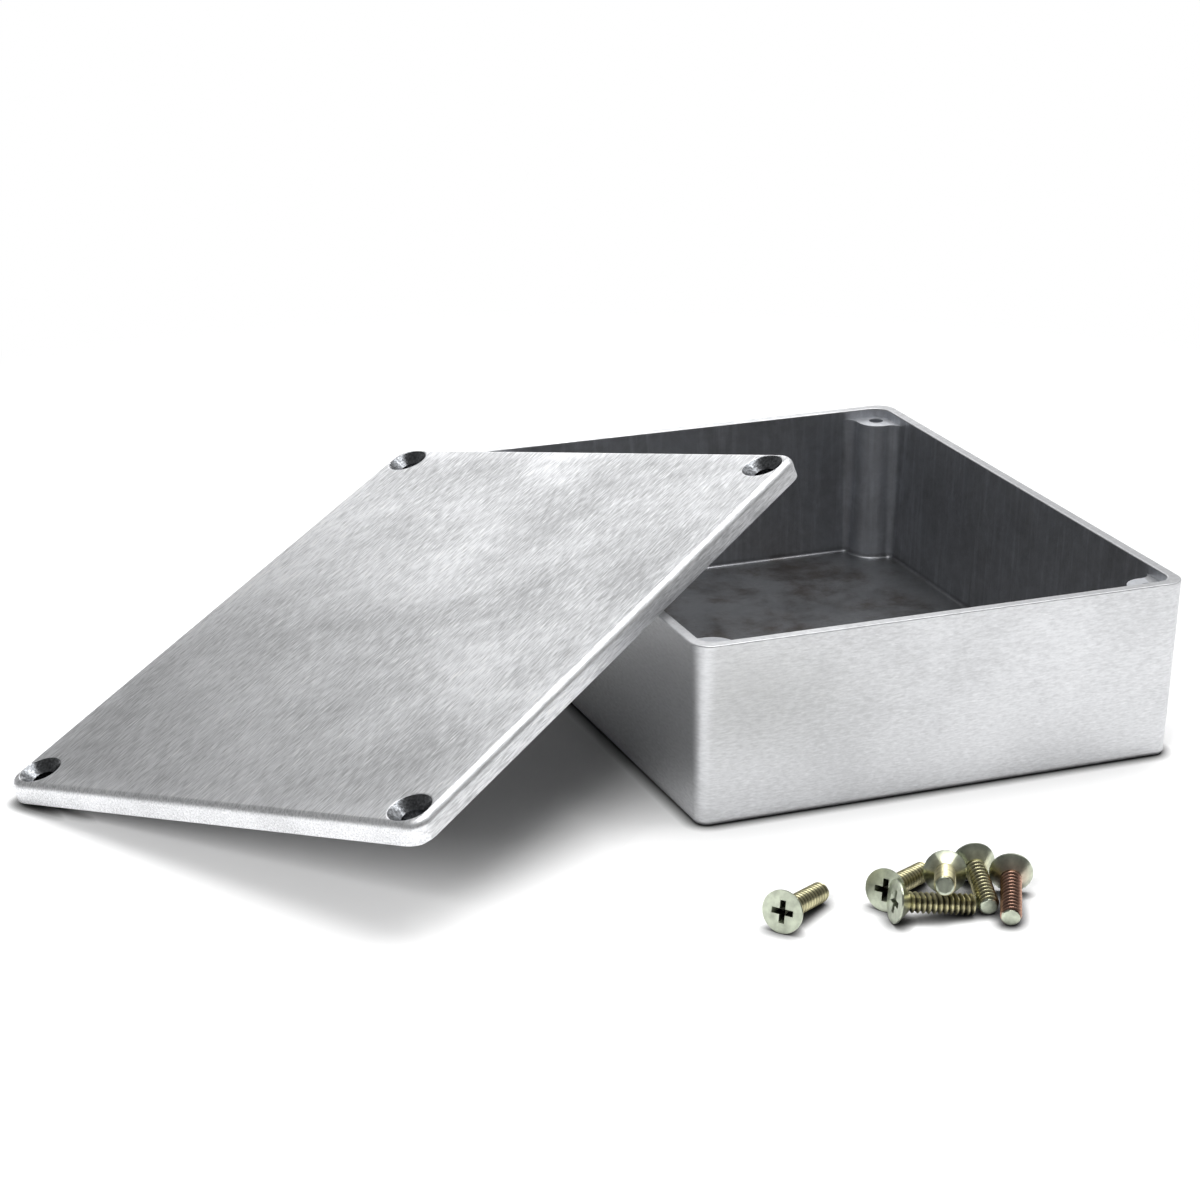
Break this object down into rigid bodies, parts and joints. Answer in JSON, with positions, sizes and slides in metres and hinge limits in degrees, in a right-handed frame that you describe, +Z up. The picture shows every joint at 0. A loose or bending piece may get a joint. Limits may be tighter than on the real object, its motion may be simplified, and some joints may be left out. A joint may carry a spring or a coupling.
{
  "type": "die cast aluminium box",
  "caption": "Shallow tapered die-cast aluminium case with corner screw posts, its flat screw-down cover leaning on one wall, and loose countersunk screws.",
  "frame": {"origin": "centre of the case's underside, on the floor", "axes": "+Z up out of the open case, X along its short side, Y along its long side; the cover leans on the wall at -X and the screws lie towards -Y"},
  "size_m": [0.1989, 0.172, 0.0504],
  "materials": {
    "case": "sanded die-cast aluminium outside, darker as-cast skin inside",
    "cover": "die-cast aluminium with a fine sanded grain",
    "screws": "zinc-plated steel with pale yellow-green passivation"
  },
  "bodies": {
    "root": {"box_body": "case", "lid": "cover", "screw_1": "screws", "screw_2": "screws", "screw_3": "screws", "screw_4": "screws", "screw_5": "screws", "screw_6": "screws"}
  },
  "joints": []
}
